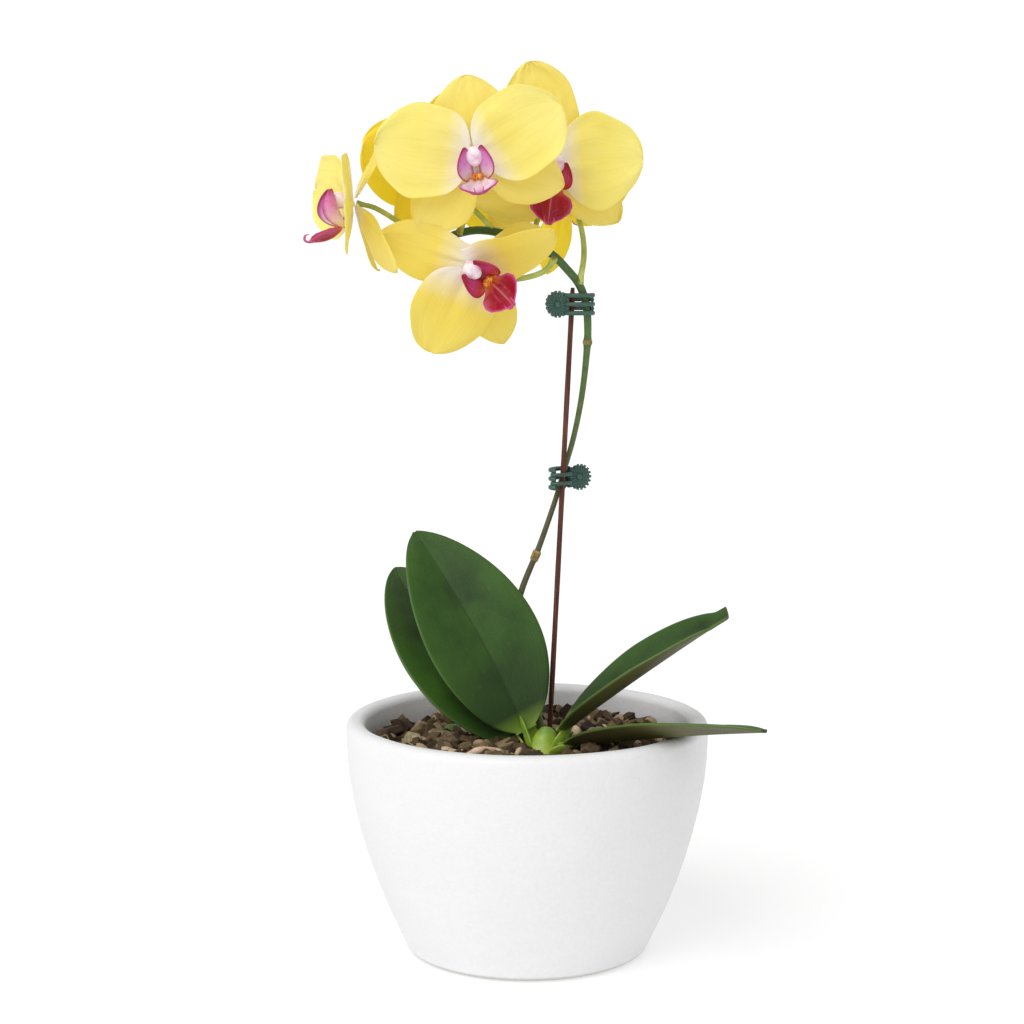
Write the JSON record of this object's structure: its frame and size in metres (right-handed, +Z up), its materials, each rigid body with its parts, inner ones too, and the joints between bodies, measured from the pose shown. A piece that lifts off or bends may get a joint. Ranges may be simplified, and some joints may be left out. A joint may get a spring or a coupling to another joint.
{
  "type": "potted orchid",
  "caption": "Moth orchid in flower in a round white pot: strap leaves, an arching spike of yellow blooms with red lips, and a slim stake held by hinged claw clips",
  "frame": {"origin": "centre of the pot's flat foot", "axes": "+Z up; -Y towards the side the open flowers face; +X to the right seen from that side"},
  "size_m": [0.2382, 0.2, 0.4863],
  "materials": {
    "pot": "satin white glaze, slightly hand-textured",
    "bark": "rough bark chips",
    "crown": "smooth waxy stem",
    "stake": "thin brown stick, matt",
    "spike": "smooth waxy stem",
    "root": "matt dry root",
    "leaf": "thick waxy leaf, semi-gloss",
    "petal": "soft, slightly translucent",
    "lip": "waxy, semi-gloss",
    "column": "waxy",
    "clip": "moulded, satin",
    "pin": "satin"
  },
  "bodies": {
    "plant": {"pot": "pot", "bark_bed": "bark", "crown": "crown", "stake": "stake", "flower_spike": "spike", "aerial_root": "root", "leaf_large_left": "leaf", "leaf_back_left": "leaf", "leaf_upper_right": "leaf", "leaf_lower_right": "leaf", "flower_front_dorsal_sepal": "petal", "flower_front_petal_right": "petal", "flower_front_petal_left": "petal", "flower_front_lateral_sepal_right": "petal", "flower_front_lateral_sepal_left": "petal", "flower_front_lip": "lip", "flower_front_column": "column", "flower_upper_right_dorsal_sepal": "petal", "flower_upper_right_petal_right": "petal", "flower_upper_right_petal_left": "petal", "flower_upper_right_lateral_sepal_right": "petal", "flower_upper_right_lateral_sepal_left": "petal", "flower_upper_right_lip": "lip", "flower_upper_right_column": "column", "flower_lower_dorsal_sepal": "petal", "flower_lower_petal_right": "petal", "flower_lower_petal_left": "petal", "flower_lower_lateral_sepal_right": "petal", "flower_lower_lateral_sepal_left": "petal", "flower_lower_lip": "lip", "flower_lower_column": "column", "flower_end_dorsal_sepal": "petal", "flower_end_petal_right": "petal", "flower_end_petal_left": "petal", "flower_end_lateral_sepal_right": "petal", "flower_end_lateral_sepal_left": "petal", "flower_end_lip": "lip", "flower_end_column": "column", "flower_back_left_dorsal_sepal": "petal", "flower_back_left_petal_right": "petal", "flower_back_left_petal_left": "petal", "flower_back_left_lateral_sepal_right": "petal", "flower_back_left_lateral_sepal_left": "petal", "flower_back_left_lip": "lip", "flower_back_left_column": "column", "flower_back_right_dorsal_sepal": "petal", "flower_back_right_petal_right": "petal", "flower_back_right_petal_left": "petal", "flower_back_right_lateral_sepal_right": "petal", "flower_back_right_lateral_sepal_left": "petal", "flower_back_right_lip": "lip", "flower_back_right_column": "column", "clip_upper_rear_jaw": "clip", "clip_upper_pin": "pin", "clip_lower_rear_jaw": "clip", "clip_lower_pin": "pin"},
    "upper_clip_jaw": {"clip_upper_front_jaw": "clip"},
    "lower_clip_jaw": {"clip_lower_front_jaw": "clip"}
  },
  "joints": [
    {"name": "upper_clip_hinge", "type": "hinge", "parent": "plant", "child": "upper_clip_jaw", "pos_m": [0.0198, 0.015, 0.356], "axis": [0, 0, -1], "range_deg": [0, 22], "stiffness_Nm_per_rad": 0.02},
    {"name": "lower_clip_hinge", "type": "hinge", "parent": "plant", "child": "lower_clip_jaw", "pos_m": [0.0232, 0.0238, 0.26], "axis": [0, 0, -1], "range_deg": [0, 22], "stiffness_Nm_per_rad": 0.02}
  ]
}
